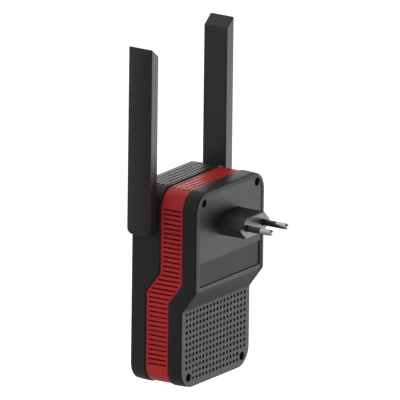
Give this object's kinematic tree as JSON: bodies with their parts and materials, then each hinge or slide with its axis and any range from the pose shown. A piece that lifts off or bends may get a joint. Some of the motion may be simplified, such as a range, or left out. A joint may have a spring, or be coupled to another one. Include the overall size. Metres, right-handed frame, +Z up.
{
  "type": "wifi range extender",
  "caption": "Plug-in wifi range extender with a stepped vented casing, a flat two-pin europlug and folding blade antennas.",
  "frame": {"origin": "middle of the plug's end face, between its two pins", "axes": "+Y out of the plug's end face into the wall socket, -Y towards the room, +Z up along the antennas, +X from pin to pin, to the right of someone facing the front"},
  "size_m": [0.0962, 0.0866, 0.2217],
  "materials": {
    "black_plastic": "fine satin texture",
    "antenna_plastic": "fine satin texture",
    "grey_plastic": "fine spark-eroded texture",
    "red_plastic": "satin",
    "pin_metal": "nickel plated, polished",
    "brass": "bright",
    "steel": "zinc plated",
    "tin_plate": "tinned",
    "circuit_board": "solder mask",
    "label_film": "matt film",
    "insulating_film": "satin",
    "moulded_component": "matt",
    "capacitor_sleeve": "shrunk sleeve",
    "clear_plastic": "polished",
    "aluminium": "extruded"
  },
  "bodies": {
    "housing": {"front_shell": "black_plastic", "rear_band": "black_plastic", "red_vent_band": "red_plastic", "back_cover": "grey_plastic", "plug_body": "grey_plastic", "rating_label": "label_film", "case_screw_1": "steel", "case_screw_2": "steel", "case_screw_3": "steel", "case_screw_4": "steel", "board_screw_1": "steel", "board_screw_2": "steel", "board_screw_3": "steel", "board_screw_4": "steel", "power_board": "circuit_board", "main_board": "circuit_board", "transformer": "moulded_component", "wps_switch": "moulded_component", "reset_switch": "moulded_component", "input_capacitor_1": "capacitor_sleeve", "input_capacitor_2": "capacitor_sleeve", "output_capacitor": "capacitor_sleeve", "mains_fuse": "clear_plastic", "led_light_pipe_1": "clear_plastic", "led_light_pipe_2": "clear_plastic", "led_light_pipe_3": "clear_plastic", "insulation_sheet": "insulating_film", "rf_shield": "tin_plate", "ethernet_jack": "tin_plate", "processor_heatsink": "aluminium", "plug_pin_left": "pin_metal", "pin_sleeve_left": "black_plastic", "hinge_bush_left": "black_plastic", "antenna_lead_left": "black_plastic", "pin_terminal_left": "brass", "lead_connector_left": "brass", "hinge_washer_left": "steel", "plug_pin_right": "pin_metal", "pin_sleeve_right": "black_plastic", "hinge_bush_right": "black_plastic", "antenna_lead_right": "black_plastic", "pin_terminal_right": "brass", "lead_connector_right": "brass", "hinge_washer_right": "steel"},
    "antenna_left": {"antenna_shell_left": "antenna_plastic", "antenna_lid_left": "antenna_plastic", "antenna_radiator_left": "circuit_board", "hinge_pin_left": "black_plastic"},
    "antenna_right": {"antenna_shell_right": "antenna_plastic", "antenna_lid_right": "antenna_plastic", "antenna_radiator_right": "circuit_board", "hinge_pin_right": "black_plastic"},
    "wps_button": {"wps_button": "black_plastic"},
    "reset_button": {"reset_button": "black_plastic"}
  },
  "joints": [
    {"name": "antenna_left_hinge", "type": "hinge", "parent": "housing", "child": "antenna_left", "pos_m": [-0.03925, -0.0567, 0.0037], "axis": [1, 0, 0], "range_deg": [0, 180]},
    {"name": "antenna_right_hinge", "type": "hinge", "parent": "housing", "child": "antenna_right", "pos_m": [0.03925, -0.0567, 0.0037], "axis": [1, 0, 0], "range_deg": [0, 180]},
    {"name": "wps_press", "type": "slide", "parent": "housing", "child": "wps_button", "axis": [0, 1, 0], "range_m": [0, 0.0008], "stiffness_N_per_m": 1500, "springref_m": -0.0005},
    {"name": "reset_press", "type": "slide", "parent": "housing", "child": "reset_button", "axis": [0, 0, 1], "range_m": [0, 0.0006], "stiffness_N_per_m": 1500, "springref_m": -0.0004}
  ]
}
